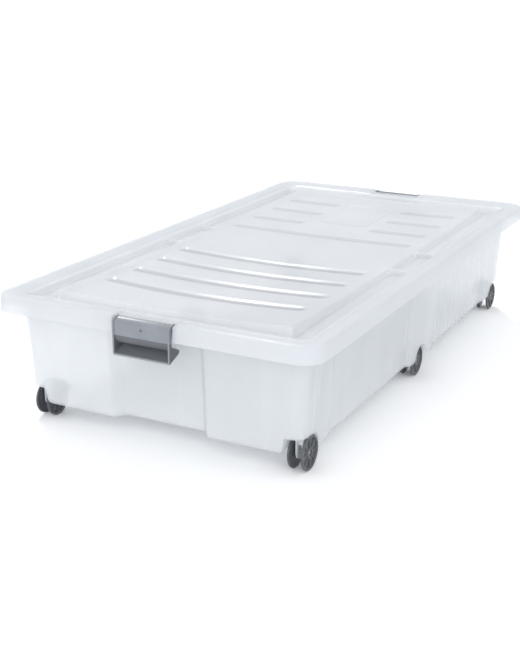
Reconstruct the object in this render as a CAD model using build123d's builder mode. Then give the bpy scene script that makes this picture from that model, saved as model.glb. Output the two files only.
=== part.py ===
from build123d import *
import os
from math import cos, radians, sin

# Under bed box on six wheels: a translucent tub, a stackable lid held by two end clips,
# and six twin-disc wheels on axles carried by brackets in the wheel wells of the tub.
# Millimetres, +Z up, +Y along the length, origin on the floor under the middle of the box.

# ---------------------------------------------------------------- driving dimensions
box_length = 950.0
box_width = 516.0
box_height = 199.3
wall = 2.4
clearance = 0.5

# tub
tub_bottom = 29.0
band_bottom = 176.0
band_proud = 0.7
tub_top = 190.6
tub_half_width = 223.0
tub_half_length = 440.0
draft = 0.050
corner_radius = 20.0
edge_radius = 3.0
recess_half_width = 80.0
recess_depth = 16.0
panel_recess = 2.5
panel_end = 352.0
pilaster_half_length = 46.0
pilaster_foot = 4.5
flange_half_width = 250.0
flange_half_length = 467.0
flange_corner = 26.0

# lid
skirt_bottom = 174.0
lid_corner = 31.0
bullnose = 6.0
ring_crest_inset = 18.0
ring_half_width = 223.5
ring_half_length = 431.5
ring_corner = 12.0
ring_edge = 193.5
gutter_floor = 183.0
plateau_half_width = 190.0
plateau_half_length = 405.0
plateau_corner = 4.0
plateau_top = 194.0
groove_depth = 3.0
groove_width = 28.0
groove_half_length = 170.0
groove_gap = 63.0
groove_bow = 9.0
front_rows = [-113.0 - 70.0 * row for row in range(4)]
rear_rows = [87.0 + 77.5 * row for row in range(4)]
cradle_reach = 58.0
cradle_thickness = 6.0
cradle_height = 8.0
label_size = (92.0, 150.0)
label_centre = 255.0

# clips
clip_half_width = 45.5
clip_proud = 4.0
pivot_inset = 9.0
pivot_height = 193.4
pin_radius = 2.5
pin_play = 0.08
pin_reach = 3.6
notch_depth = 14.0
catch_half_width = 41.0
catch_bottom = 158.0
tail_inset = 21.5

# wheels
wheel_radius = 25.4
disc_thickness = 3.6
disc_face = 221.6
set_width = 23.6
wheel_rows = {"front": -409.0, "middle": 0.0, "rear": 409.0}
arch_radius = 27.4
well_inner = 192.2
axle_radius = 3.0
axle_play = 0.07
axle_inset = 1.4
cheek_thickness = 2.5
cheek_radius = 11.0
cheek_gap = 2.4
hub_radius = 7.0
bore_radius = 4.5
pocket_depth = 2.2
pocket_inner = 8.0
pocket_outer = 21.5
spoke_count = 8
spoke_width = 2.0

half_length = box_length / 2
half_width = box_width / 2


# ---------------------------------------------------------------- helpers
def tub_outline(z, inset):
    """Corner points of the tub's plan at height z, pulled in by inset."""
    grow = draft * (z - tub_bottom) - inset
    hx = tub_half_width + grow
    hy = tub_half_length + grow
    mitre = inset * 0.41
    foot = 0.4 + (pilaster_foot - 0.4) * max(1 - (z - tub_bottom) / (band_bottom - tub_bottom), 0)
    quarter = [
        (recess_half_width - recess_depth + mitre, hy - recess_depth),
        (recess_half_width + mitre, hy),
        (hx, hy),
        (hx, panel_end - mitre),
        (hx - panel_recess, panel_end - panel_recess - mitre),
        (hx - panel_recess, pilaster_half_length + panel_recess + foot - mitre),
        (hx + foot, pilaster_half_length - mitre),
    ]
    side = quarter + [(x, -y) for x, y in reversed(quarter)]
    return side + [(-x, y) for x, y in reversed(side)], hx, hy


def box_between(low, high):
    """A box given by its two opposite corners, added to the open part."""
    size = [h - l for l, h in zip(low, high)]
    with Locations(tuple((l + h) / 2 for l, h in zip(low, high))):
        return Box(*size)


def ends():
    """The two ends of the box: -1 is the front, +1 the rear."""
    return (-1, 1)


# ---------------------------------------------------------------- tub
def tub_volume(low, high, inset):
    """Closed volume inside the panelled walls of the tub, between two heights."""
    with BuildPart() as volume:
        for z in (low, high):
            points, hx, hy = tub_outline(z, inset)
            with BuildSketch(Plane.XY.offset(z)) as plan:
                with BuildLine():
                    Polyline(*points, close=True)
                make_face()
                bends = plan.vertices().filter_by(
                    lambda v: abs(v.X) < hx - 0.1 or abs(v.Y) < hy - 0.1
                )
                fillet(bends, edge_radius)
                corners = plan.vertices().filter_by(
                    lambda v: abs(v.X) > hx - 0.1 and abs(v.Y) > hy - 0.1
                )
                fillet(corners, corner_radius - inset)
        loft(ruled=True)
    return volume.part


def band_volume(low, high, inset):
    """Closed volume inside the plain band above the wall panels."""
    with BuildPart() as volume:
        for z in (low, high):
            _, hx, hy = tub_outline(z, inset)
            with BuildSketch(Plane.XY.offset(z)):
                RectangleRounded(
                    2 * (hx + band_proud), 2 * (hy + band_proud), corner_radius - inset
                )
        loft(ruled=True)
    return volume.part


def draw_well(centre, reach, side):
    """Arched side view of a wheel well; corner wells run on to the end wall."""
    radius = arch_radius + reach
    with Locations((centre, wheel_radius)):
        Circle(radius)
    with Locations((centre, 0)):
        Rectangle(2 * radius, 2 * wheel_radius)
    if centre:
        run = half_length - abs(centre)
        top = wheel_radius + radius
        with Locations((centre + side * run / 2, 0)):
            Rectangle(run, 2 * top)


outer_volume = tub_volume(tub_bottom, band_bottom, 0)
inner_volume = tub_volume(tub_bottom + wall, band_bottom + 2 * wall, wall)

with BuildPart() as well_blocks:
    for centre in wheel_rows.values():
        side = 1 if centre > 0 else -1
        for across in (-1, 1):
            with BuildSketch(Plane.YZ.offset(across * (well_inner - wall))):
                draw_well(centre, wall, side)
            extrude(amount=across * (half_width - well_inner))

with BuildPart() as well_hollows:
    for centre in wheel_rows.values():
        side = 1 if centre > 0 else -1
        for across in (-1, 1):
            with BuildSketch(Plane.YZ.offset(across * well_inner)):
                draw_well(centre, 0, side)
            extrude(amount=across * (half_width - well_inner))

catch_face = half_length - tail_inset - clearance
cheek_starts = (
    disc_face - disc_thickness - cheek_gap - cheek_thickness,
    disc_face - set_width + disc_thickness + cheek_gap,
)

with BuildPart() as tub:
    add(outer_volume)
    add(band_volume(band_bottom, tub_top, 0))
    # rim flange that the lid rests on, set back at the clips
    with BuildSketch(Plane.XY.offset(tub_top - wall)):
        RectangleRounded(2 * flange_half_width, 2 * flange_half_length, flange_corner)
        for end in ends():
            with Locations((0, end * (catch_face + 15))):
                Rectangle(2 * (clip_half_width + 7), 30, mode=Mode.SUBTRACT)
    extrude(amount=wall)
    # hollow inside
    add(band_volume(band_bottom + wall, tub_top + 1, wall), mode=Mode.SUBTRACT)
    add(inner_volume, mode=Mode.SUBTRACT)
    # wheel well housings, kept inside the outline of the tub
    add(well_blocks.part & outer_volume)
    add(well_hollows.part, mode=Mode.SUBTRACT)
    # catch lip under the flange behind each clip
    for end in ends():
        near = end * catch_face
        far = end * (catch_face - wall)
        box_between(
            (-catch_half_width, min(near, far), catch_bottom),
            (catch_half_width, max(near, far), tub_top - wall / 2),
        )
    # axle brackets: two cheeks under the roof of each well
    for centre in wheel_rows.values():
        for across in (-1, 1):
            for start in cheek_starts:
                with BuildSketch(Plane.YZ.offset(across * start)):
                    with Locations((centre, wheel_radius)):
                        Circle(cheek_radius)
                    with Locations((centre, wheel_radius + (arch_radius + 1) / 2)):
                        Rectangle(2 * cheek_radius, arch_radius + 1)
                    with Locations((centre, wheel_radius)):
                        Circle(axle_radius + axle_play, mode=Mode.SUBTRACT)
                extrude(amount=across * cheek_thickness)
tub.part.label = "tub"

# ---------------------------------------------------------------- lid
def draw_grooves(grow):
    """The lid's long and short grooves, each widened by grow, drawn into the open sketch."""
    width = groove_width + 2 * grow
    reach = groove_half_length + grow - width / 2
    for row in front_rows + rear_rows[:1]:
        bow = groove_bow if row < 0 else groove_bow / 2
        with BuildLine(mode=Mode.PRIVATE):
            centre_line = ThreePointArc((-reach, row + bow), (0, row), (reach, row + bow))
        SlotArc(centre_line, width)
    short = groove_half_length - groove_gap + 2 * grow
    middle = (groove_half_length + groove_gap) / 2
    for row in rear_rows[1:]:
        with Locations((-middle, row), (middle, row)):
            SlotOverall(short, width)


groove_floor = plateau_top - groove_depth
crest_half_width = half_width - ring_crest_inset
crest_half_length = half_length - ring_crest_inset - 8

# everything below the lid's underside
with BuildPart() as lid_underside:
    with BuildSketch(Plane.XY.offset(skirt_bottom - 4)):
        RectangleRounded(box_width - 2 * wall, box_length - 2 * wall, lid_corner - wall)
    extrude(amount=box_height - wall - skirt_bottom + 4)
    with BuildSketch(Plane.XY.offset(gutter_floor - wall)):
        RectangleRounded(
            2 * (ring_half_width + wall), 2 * (ring_half_length + wall), ring_corner + wall
        )
    extrude(amount=ring_edge - gutter_floor, mode=Mode.SUBTRACT)
    with BuildSketch(Plane.XY.offset(ring_edge - wall)):
        RectangleRounded(
            2 * (ring_half_width + wall), 2 * (ring_half_length + wall), ring_corner + wall
        )
    with BuildSketch(Plane.XY.offset(box_height - wall)):
        RectangleRounded(2 * (crest_half_width + 1), 2 * (crest_half_length + 1), lid_corner - 8)
    loft(mode=Mode.SUBTRACT)
    with BuildSketch(Plane.XY.offset(gutter_floor - wall - 1)):
        RectangleRounded(
            2 * (plateau_half_width - wall), 2 * (plateau_half_length - wall), plateau_corner - 1
        )
    extrude(amount=plateau_top - gutter_floor + 1)
    with BuildSketch(Plane.XY.offset(groove_floor - wall)):
        draw_grooves(wall)
    extrude(amount=groove_depth, mode=Mode.SUBTRACT)
    for end in ends():
        near = end * (half_length + 5)
        far = end * (half_length - notch_depth - wall)
        with Locations((0, (near + far) / 2, (skirt_bottom + box_height) / 2)):
            Box(
                2 * (clip_half_width + 0.8 + wall),
                abs(near - far),
                box_height - skirt_bottom + 20,
                mode=Mode.SUBTRACT,
            )

with BuildPart() as lid:
    with BuildSketch(Plane.XY.offset(skirt_bottom)):
        RectangleRounded(box_width, box_length, lid_corner)
    extrude(amount=box_height - skirt_bottom)
    fillet(lid.faces().sort_by(Axis.Z)[-1].edges(), bullnose)
    # sloped inner side of the ring, then the gutter
    with BuildSketch(Plane.XY.offset(ring_edge)):
        RectangleRounded(2 * ring_half_width, 2 * ring_half_length, ring_corner)
    with BuildSketch(Plane.XY.offset(box_height)):
        RectangleRounded(2 * crest_half_width, 2 * crest_half_length, lid_corner - 9)
    loft(mode=Mode.SUBTRACT)
    with BuildSketch(Plane.XY.offset(gutter_floor)):
        RectangleRounded(2 * ring_half_width, 2 * ring_half_length, ring_corner)
    extrude(amount=ring_edge - gutter_floor, mode=Mode.SUBTRACT)
    # raised plateau with its grooves and the blank label field
    with BuildSketch(Plane.XY.offset(gutter_floor)):
        RectangleRounded(2 * plateau_half_width, 2 * plateau_half_length, plateau_corner)
    extrude(amount=plateau_top - gutter_floor)
    with BuildSketch(Plane.XY.offset(groove_floor)):
        draw_grooves(0)
    extrude(amount=groove_depth + 1, mode=Mode.SUBTRACT)
    with BuildSketch(Plane.XY.offset(plateau_top - 0.8)):
        with Locations((0, label_centre)):
            RectangleRounded(*label_size, 6)
    extrude(amount=1, mode=Mode.SUBTRACT)
    # cradles across the gutter for the middle wheels of a box stacked on top
    for across in (-1, 1):
        for along in (-1, 1):
            middle = (plateau_half_width + ring_half_width) / 2
            with Locations(
                (across * middle, along * cradle_reach, gutter_floor + cradle_height / 2)
            ):
                Box(ring_half_width - plateau_half_width + 2, cradle_thickness, cradle_height)
    # notches for the clips
    for end in ends():
        with Locations((0, end * (half_length - notch_depth / 2 + 2), box_height - 15)):
            Box(
                2 * (clip_half_width + 0.8),
                notch_depth + 4,
                60,
                mode=Mode.SUBTRACT,
            )
    add(lid_underside.part, mode=Mode.SUBTRACT)
    # pivot holes in the end walls of the notches
    for end in ends():
        with BuildSketch(Plane.YZ):
            with Locations((end * (half_length - pivot_inset), pivot_height)):
                Circle(pin_radius + pin_play)
        extrude(amount=clip_half_width + 8, both=True, mode=Mode.SUBTRACT)
lid.part.label = "lid"


# ---------------------------------------------------------------- clips
def make_clip(end, name):
    """One end clip; end is -1 at the front of the box and +1 at the rear."""
    face = half_length + clip_proud

    def at(out, z):
        """Point of the side view: out is measured outwards from the lid's edge."""
        return (end * (half_length + out), z)

    side_points = [
        at(clip_proud, 143.5),
        at(clip_proud, 191.0),
        at(1.0, 194.0),
        at(-pivot_inset, pivot_height + 3.4),
        at(-pivot_inset - 3.4, pivot_height),
        at(-pivot_inset - 1.0, pivot_height - 4.5),
        at(-2.5, 184.0),
        at(-1.5, 168.0),
        at(-tail_inset, 157.0),
        at(-tail_inset, 153.5),
    ]
    panel_points = [
        at(clip_proud - 1.2, 190.5),
        at(clip_proud - 0.2, 178.0),
        at(clip_proud - 0.8, 165.0),
        at(-2.0, 157.0),
        at(-4.0, 158.5),
        at(clip_proud - 3.4, 166.5),
        at(clip_proud - 2.8, 178.0),
        at(clip_proud - 3.8, 188.0),
        at(-pivot_inset, pivot_height + 0.8),
        at(-pivot_inset, pivot_height + 3.2),
        at(0.5, 193.6),
    ]
    shelf_points = [
        at(clip_proud, 143.5),
        at(clip_proud, 146.0),
        at(-tail_inset, 157.0),
        at(-tail_inset, 153.5),
    ]
    with BuildPart() as clip:
        # side walls
        for across in (-1, 1):
            with BuildSketch(Plane.YZ.offset(across * clip_half_width)):
                with BuildLine():
                    Polyline(*side_points, close=True)
                make_face()
            extrude(amount=-across * wall)
        # convex pull panel with the top flange, then the sloping shelf of the finger pocket
        for points in (panel_points, shelf_points):
            with BuildSketch(Plane.YZ):
                with BuildLine():
                    Polyline(*points, close=True)
                make_face()
            extrude(amount=clip_half_width - wall / 2, both=True)
        # pivot bar and its two pins
        with BuildSketch(Plane.YZ):
            with Locations((end * (half_length - pivot_inset), pivot_height)):
                Circle(3.2)
        extrude(amount=clip_half_width, both=True)
        with BuildSketch(Plane.YZ):
            with Locations((end * (half_length - pivot_inset), pivot_height)):
                Circle(pin_radius)
        extrude(amount=clip_half_width + pin_reach, both=True)
        # small gate dimple in the middle of the panel
        with BuildSketch(Plane.XZ.offset(-end * (face + 1))):
            with Locations((0, 186.0)):
                Circle(1.6)
        extrude(amount=end * 2.6, mode=Mode.SUBTRACT)
    clip.part.label = name
    return clip.part


clip_front = make_clip(-1, "clip_front")
clip_rear = make_clip(1, "clip_rear")


# ---------------------------------------------------------------- wheels
def make_disc(row, face, outward, name):
    """One wheel disc; outward is the direction along X that its spoked face points to."""
    y = wheel_rows[row]
    # the hub reaches from the disc towards the bracket
    with BuildPart() as disc:
        with BuildSketch(Plane.YZ.offset(face)):
            with Locations((y, wheel_radius)):
                Circle(wheel_radius)
        extrude(amount=-outward * disc_thickness)
        rims = disc.edges().filter_by(GeomType.CIRCLE).group_by(SortBy.RADIUS)[-1]
        fillet(rims, 1.0)
        with BuildSketch(Plane.YZ.offset(face - outward * disc_thickness)):
            with Locations((y, wheel_radius)):
                Circle(hub_radius)
        extrude(amount=-outward * (cheek_gap - 0.4))
        # spoke pockets
        with BuildSketch(Plane.YZ.offset(face)):
            with Locations((y, wheel_radius)):
                Circle(pocket_outer)
                Circle(pocket_inner, mode=Mode.SUBTRACT)
            for index in range(spoke_count):
                angle = 360.0 / spoke_count * index
                middle = (pocket_inner + pocket_outer) / 2
                spot = (
                    y + middle * cos(radians(angle)),
                    wheel_radius + middle * sin(radians(angle)),
                )
                with Locations(Location(spot, angle)):
                    Rectangle(
                        pocket_outer - pocket_inner + 4, spoke_width, mode=Mode.SUBTRACT
                    )
        extrude(amount=-outward * pocket_depth, mode=Mode.SUBTRACT)
        # bore for the axle, wider outside the end of the axle
        with BuildSketch(Plane.YZ.offset(face)):
            with Locations((y, wheel_radius)):
                Circle(bore_radius)
        extrude(amount=-outward * axle_inset, mode=Mode.SUBTRACT)
        with BuildSketch(Plane.YZ.offset(face)):
            with Locations((y, wheel_radius)):
                Circle(axle_radius)
        extrude(amount=-outward * 12, mode=Mode.SUBTRACT)
    disc.part.label = name
    return disc.part


def make_axle(across, row, name):
    """Axle pin through both discs and the bracket's cheeks."""
    start = disc_face - set_width + axle_inset
    length = set_width - 2 * axle_inset
    with BuildPart() as axle:
        with BuildSketch(Plane.YZ.offset(across * start)):
            with Locations((wheel_rows[row], wheel_radius)):
                Circle(axle_radius)
        extrude(amount=across * length)
    axle.part.label = name
    return axle.part


pieces = [tub.part, lid.part, clip_front, clip_rear]
for row in wheel_rows:
    for across, hand in ((-1, "left"), (1, "right")):
        place = f"{row}_{hand}"
        outer_face = across * disc_face
        inner_face = across * (disc_face - set_width)
        pieces.append(make_disc(row, outer_face, across, f"wheel_outer_{place}"))
        pieces.append(make_disc(row, inner_face, -across, f"wheel_inner_{place}"))
        pieces.append(make_axle(across, row, f"axle_{place}"))

os.makedirs("parts", exist_ok=True)
for piece in pieces:
    export_step(piece, f"parts/{piece.label}.step")
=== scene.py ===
from math import cos, hypot, pi, radians, sin, sqrt

import bmesh
import bpy
from mathutils import Matrix, Vector


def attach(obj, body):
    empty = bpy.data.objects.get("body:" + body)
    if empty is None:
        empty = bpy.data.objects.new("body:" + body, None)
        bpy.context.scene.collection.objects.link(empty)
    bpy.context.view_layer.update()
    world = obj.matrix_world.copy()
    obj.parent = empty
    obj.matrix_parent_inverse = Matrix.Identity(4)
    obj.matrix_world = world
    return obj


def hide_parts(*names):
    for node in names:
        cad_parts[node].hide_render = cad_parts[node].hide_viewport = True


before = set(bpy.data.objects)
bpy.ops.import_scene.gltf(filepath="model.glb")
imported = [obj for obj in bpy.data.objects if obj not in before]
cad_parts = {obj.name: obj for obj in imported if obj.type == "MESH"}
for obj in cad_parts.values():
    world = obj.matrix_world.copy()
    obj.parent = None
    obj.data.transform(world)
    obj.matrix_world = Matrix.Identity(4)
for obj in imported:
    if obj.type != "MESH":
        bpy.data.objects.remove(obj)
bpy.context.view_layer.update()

# Under bed box: a translucent tub and lid, two grey clips and six pairs of wheels.
# Shapes are written in millimetres in the frame of the CAD model, and MM turns them into metres.
MM = 0.001

# ---------------------------------------------------------------- driving dimensions
# tub
TUB_BOTTOM, BAND_LOW, BAND_HIGH = 29.0, 173.0, 177.0
TUB_HALF_X, TUB_HALF_Y, DRAFT = 223.0, 440.0, 0.050
TUB_WALL, TUB_CORNER = 2.4, 20.0
RECESS_HALF, RECESS_DEPTH = 80.0, 16.0
PANEL_DEPTH, PANEL_END = 2.5, 352.0
PILASTER_HALF, PILASTER_FOOT = 46.0, 5.0
FLUTE_PITCH, FLUTE_DEPTH, FLUTE_START, FLUTE_END = 22.0, 1.7, 60.0, 340.0
WHEEL_RADIUS, ARCH_RADIUS, WELL_TOP = 25.4, 27.4, 52.8
WHEEL_ROWS = (-409.0, 0.0, 409.0)
ROW_NAMES = ("front", "middle", "rear")
WELL_EDGE, WELL_DEPTH, WELL_ROUND = 193.6, 30.6, 7.0
FLANGE_OUT, FLANGE_UNDER, LIP_Z = 17.3, 188.0, 184.0
CATCH_HALF, CATCH_OUT, CATCH_BOTTOM = 41.0, 3.0, 158.2
TREAD_FIELD, TREAD_CELLS, TREAD_PITCH, TREAD_SLOPE, TREAD_HALF = (178.0, 372.0), 8, 21.0, 0.62, 2.6
CHEEK_FACES, CHEEK_THICKNESS = (204.0, 213.1), 2.5
CHEEK_RADIUS, CHEEK_BORE, CHEEK_TOP, CHEEK_STEPS = 11.0, 3.07, 27.8, 40

# lid
LID_HALF_X, LID_HALF_Y, LID_TOP, LID_BOTTOM = 257.98, 475.0, 199.2, 174.0
LID_CORNER, LID_WALL = 31.0, 2.2
NOTCH_HALF, NOTCH_DEPTH = 46.4, 14.0
RING_X, RING_Y, GUTTER_Z = 223.5, 431.5, 183.0
PLATEAU_X, PLATEAU_Y, PLATEAU_Z, CORNER_RISE, SIDE_RISE = 190.0, 405.0, 191.0, 6.0, 0.9
GRID_X, GRID_Y = 186.0, 401.0
GROOVE_HALF, GROOVE_END, GROOVE_DEPTH, GROOVE_BOW = 14.0, 156.0, 2.6, 10.0
BOW_FRONT, BOW_REAR, BOW_FADE = -345.0, -95.0, 270.0
NEAR_RAMP, FAR_RAMP, FAR_RAMP_REAR = 4.0, 8.0, 11.0
# how far outside a groove's edge its lines of the grid run
GROOVE_STEPS = (1.4, 0.5, -0.5, -2.5, -4.0, -6.5, -8.0, -9.0)
FRONT_ROWS = [-323.0 + 70.0 * row for row in range(4)]
LONG_ROW = 87.0
SHORT_ROWS = [164.5 + 77.5 * row for row in range(3)]
SHORT_START, SHORT_END = 77.0, 156.0
LABEL_X, LABEL_LOW, LABEL_HIGH, LABEL_DEPTH = 46.0, 182.0, 332.0, 0.7
CRADLE_Y, CRADLE_HALF, CRADLE_Z = 58.0, 3.6, 190.5
CHANNEL_MID_X, CHANNEL_MID_Y = 206.0, 418.0
BULL, CLIP_DIP = 6.5, 4.4
# the loops given painted light, made paler as if light passed through them: the plateau's side wall
# and the ring's inner wall, by their places in the lid's list of loops
PAINTED_LIGHT_LOOPS = (3, 4, 5, 9, 10, 11, 12)


# ---------------------------------------------------------------- small helpers
def clamp(value, low=0.0, high=1.0):
    return max(low, min(high, value))


def smooth(value):
    """0 to 1 with level ends."""
    value = clamp(value)
    return value * value * (3 - 2 * value)


def spread(start, end, count):
    """count even steps from start to end, both ends included."""
    return [start + (end - start) * step / count for step in range(count + 1)]


def new_object(name, mesh):
    piece = bpy.data.objects.new(name, mesh)
    bpy.context.scene.collection.objects.link(piece)
    return piece


def finished(piece, sharp_degrees=35.0):
    """The piece with its modifiers made part of its mesh, smooth but for its sharp edges."""
    bpy.context.view_layer.update()
    graph = bpy.context.evaluated_depsgraph_get()
    mesh = bpy.data.meshes.new_from_object(piece.evaluated_get(graph))
    piece.modifiers.clear()
    piece.data = mesh
    work = bmesh.new()
    work.from_mesh(mesh)
    bmesh.ops.remove_doubles(work, verts=work.verts, dist=1e-6)
    bmesh.ops.dissolve_degenerate(work, edges=work.edges, dist=1e-7)
    bmesh.ops.recalc_face_normals(work, faces=work.faces)
    limit = radians(sharp_degrees)
    for face in work.faces:
        face.smooth = True
    for edge in work.edges:
        edge.smooth = len(edge.link_faces) == 2 and edge.calc_face_angle(0) < limit
    work.to_mesh(mesh)
    work.free()
    return piece


def as_object(name, work):
    """A new object from a bmesh, its normals made to point outwards."""
    bmesh.ops.recalc_face_normals(work, faces=work.faces)
    return raw_object(name, work)


def raw_object(name, work):
    """A new object from a bmesh, its normals left as they are."""
    mesh = bpy.data.meshes.new(name)
    work.to_mesh(mesh)
    work.free()
    return new_object(name, mesh)


def verts_at(work, points):
    """New vertices at points given in millimetres."""
    return [work.verts.new(Vector(point) * MM) for point in points]


def bridge(work, rows, closed=True):
    """Faces between rows of vertices that all have the same count."""
    count = len(rows[0])
    for low, high in zip(rows, rows[1:]):
        for index in range(count if closed else count - 1):
            after = (index + 1) % count
            work.faces.new((low[index], low[after], high[after], high[index]))


def cap(work, rows):
    """Faces over the first and the last row."""
    work.faces.new(rows[0][::-1])
    work.faces.new(rows[-1])


def skin(name, loops):
    """A closed skin through loops of points that all have the same count."""
    work = bmesh.new()
    rows = [verts_at(work, loop) for loop in loops]
    bridge(work, rows)
    cap(work, rows)
    bmesh.ops.remove_doubles(work, verts=work.verts, dist=1e-6)
    return as_object(name, work)


# ---------------------------------------------------------------- materials
def shader_nodes(name):
    """A new material with an empty node tree."""
    material = bpy.data.materials.new(name)
    material.use_nodes = True
    nodes = material.node_tree.nodes
    nodes.clear()
    return material, nodes, material.node_tree.links


def noise(nodes, links, scale, detail=3.0, stretch=None):
    """Noise in the object's own metres, stretched along an axis where asked."""
    place = nodes.new("ShaderNodeTexCoord")
    texture = nodes.new("ShaderNodeTexNoise")
    texture.inputs["Scale"].default_value = scale
    texture.inputs["Detail"].default_value = detail
    source = place.outputs["Object"]
    if stretch:
        mapping = nodes.new("ShaderNodeMapping")
        mapping.inputs["Scale"].default_value = stretch
        links.new(source, mapping.inputs["Vector"])
        source = mapping.outputs["Vector"]
    links.new(source, texture.inputs["Vector"])
    return texture.outputs["Fac"]


def ramp(nodes, links, source, low, high, first, second):
    """Maps source between low and high to the colours first and second."""
    node = nodes.new("ShaderNodeValToRGB")
    node.color_ramp.elements[0].position = low
    node.color_ramp.elements[1].position = high
    node.color_ramp.elements[0].color = first
    node.color_ramp.elements[1].color = second
    links.new(source, node.inputs["Fac"])
    return node.outputs["Color"]


def span(nodes, links, source, low, high):
    """Maps source from 0..1 to low..high."""
    node = nodes.new("ShaderNodeMapRange")
    node.inputs["To Min"].default_value = low
    node.inputs["To Max"].default_value = high
    links.new(source, node.inputs["Value"])
    return node.outputs["Result"]


def bump(nodes, links, source, distance, strength):
    """A normal with relief from the source, distance in metres."""
    node = nodes.new("ShaderNodeBump")
    node.inputs["Strength"].default_value = strength
    node.inputs["Distance"].default_value = distance
    links.new(source, node.inputs["Height"])
    return node.outputs["Normal"]


def multiplied(nodes, links, tone, shade):
    """The tone times the shade."""
    mix = nodes.new("ShaderNodeMix")
    mix.data_type = "RGBA"
    mix.blend_type = "MULTIPLY"
    mix.inputs["Factor"].default_value = 1.0
    links.new(tone, mix.inputs[6])
    links.new(shade, mix.inputs[7])
    return mix.outputs[2]


def marked(nodes, links, name, tone, colour, share):
    """The tone, mixed towards a colour where the mesh carries the mark of that name."""
    mark = nodes.new("ShaderNodeAttribute")
    mark.attribute_name = name
    mix = nodes.new("ShaderNodeMix")
    mix.data_type = "RGBA"
    mix.inputs[7].default_value = colour
    links.new(span(nodes, links, mark.outputs["Fac"], 0.0, share), mix.inputs[0])
    links.new(tone, mix.inputs[6])
    return mix.outputs[2]


def clear_plastic(name, colour, shade, alpha, roughness, glow, grain, streak, marks=()):
    """Milky polypropylene: a lit skin, a share that passes light and a share that is seen through."""
    material, nodes, links = shader_nodes(name)
    cloud = noise(nodes, links, 9.0, 4.0)
    flow = noise(nodes, links, 30.0, 3.0, streak)
    fine = noise(nodes, links, grain, 2.0)
    tint = ramp(nodes, links, cloud, 0.3, 0.7, shade, colour)
    # marks paint light and shade into the tint, such as painted shade on groove floors and painted
    # light on steep walls
    for mark, tone, share in marks:
        tint = marked(nodes, links, mark, tint, tone, share)
    surface = nodes.new("ShaderNodeBsdfPrincipled")
    surface.inputs["IOR"].default_value = 1.49
    surface.inputs["Specular IOR Level"].default_value = 0.22
    links.new(tint, surface.inputs["Base Color"])
    gloss = span(nodes, links, flow, roughness - 0.03, roughness + 0.04)
    links.new(gloss, surface.inputs["Roughness"])
    relief = bump(nodes, links, fine, 0.0003, 0.12)
    links.new(relief, surface.inputs["Normal"])
    through = nodes.new("ShaderNodeBsdfTranslucent")
    links.new(tint, through.inputs["Color"])
    body = nodes.new("ShaderNodeMixShader")
    body.inputs["Fac"].default_value = glow
    links.new(surface.outputs[0], body.inputs[1])
    links.new(through.outputs[0], body.inputs[2])
    clear = nodes.new("ShaderNodeBsdfTransparent")
    mix = nodes.new("ShaderNodeMixShader")
    links.new(span(nodes, links, flow, alpha - 0.012, alpha + 0.012), mix.inputs["Fac"])
    links.new(clear.outputs[0], mix.inputs[1])
    links.new(body.outputs[0], mix.inputs[2])
    output = nodes.new("ShaderNodeOutputMaterial")
    links.new(mix.outputs[0], output.inputs["Surface"])
    return material


def over(nodes, links, source, limit):
    """1 where source is over a limit in millimetres, else 0, with a soft step."""
    node = nodes.new("ShaderNodeMapRange")
    node.inputs["From Min"].default_value = (limit - 0.4) * MM
    node.inputs["From Max"].default_value = (limit + 0.4) * MM
    links.new(source, node.inputs["Value"])
    return node.outputs["Result"]


def painted_shade_inside(nodes, links, tone, height, reach, share):
    """Painted shade: the tone, darker by share under a height and within a reach of the middle, in
    millimetres.
    """
    place = nodes.new("ShaderNodeTexCoord")
    parts = nodes.new("ShaderNodeSeparateXYZ")
    links.new(place.outputs["Object"], parts.inputs[0])
    far = nodes.new("ShaderNodeMath")
    far.operation = "ABSOLUTE"
    links.new(parts.outputs["Y"], far.inputs[0])
    unshaded = nodes.new("ShaderNodeMath")
    unshaded.operation = "MAXIMUM"
    links.new(over(nodes, links, parts.outputs["Z"], height), unshaded.inputs[0])
    links.new(over(nodes, links, far.outputs[0], reach), unshaded.inputs[1])
    shade = ramp(nodes, links, unshaded.outputs[0], 0.0, 1.0, (share, share, share, 1), (1, 1, 1, 1))
    return multiplied(nodes, links, tone, shade)


def solid_plastic(name, colour, worn, roughness, grain, relief, painted_cavity_shade=None):
    """Moulded opaque plastic with a faint pebble, handling marks and paler rubbed patches, and
    painted shade in a cavity where asked.
    """
    material, nodes, links = shader_nodes(name)
    patch = noise(nodes, links, 38.0, 5.0)
    scuff = noise(nodes, links, 220.0, 3.0, (1.0, 0.08, 1.0))
    pebble = noise(nodes, links, grain, 2.0)
    surface = nodes.new("ShaderNodeBsdfPrincipled")
    surface.inputs["IOR"].default_value = 1.5
    surface.inputs["Specular IOR Level"].default_value = 0.35
    tone = ramp(nodes, links, patch, 0.42, 0.78, colour, worn)
    # painted shade: darker under a height and near the middle, where the clip's cavity lies
    if painted_cavity_shade:
        tone = painted_shade_inside(nodes, links, tone, *painted_cavity_shade)
    links.new(tone, surface.inputs["Base Color"])
    gloss = span(nodes, links, scuff, roughness - 0.1, roughness + 0.12)
    links.new(gloss, surface.inputs["Roughness"])
    links.new(bump(nodes, links, pebble, 0.0003, relief), surface.inputs["Normal"])
    output = nodes.new("ShaderNodeOutputMaterial")
    links.new(surface.outputs[0], output.inputs["Surface"])
    return material


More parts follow.
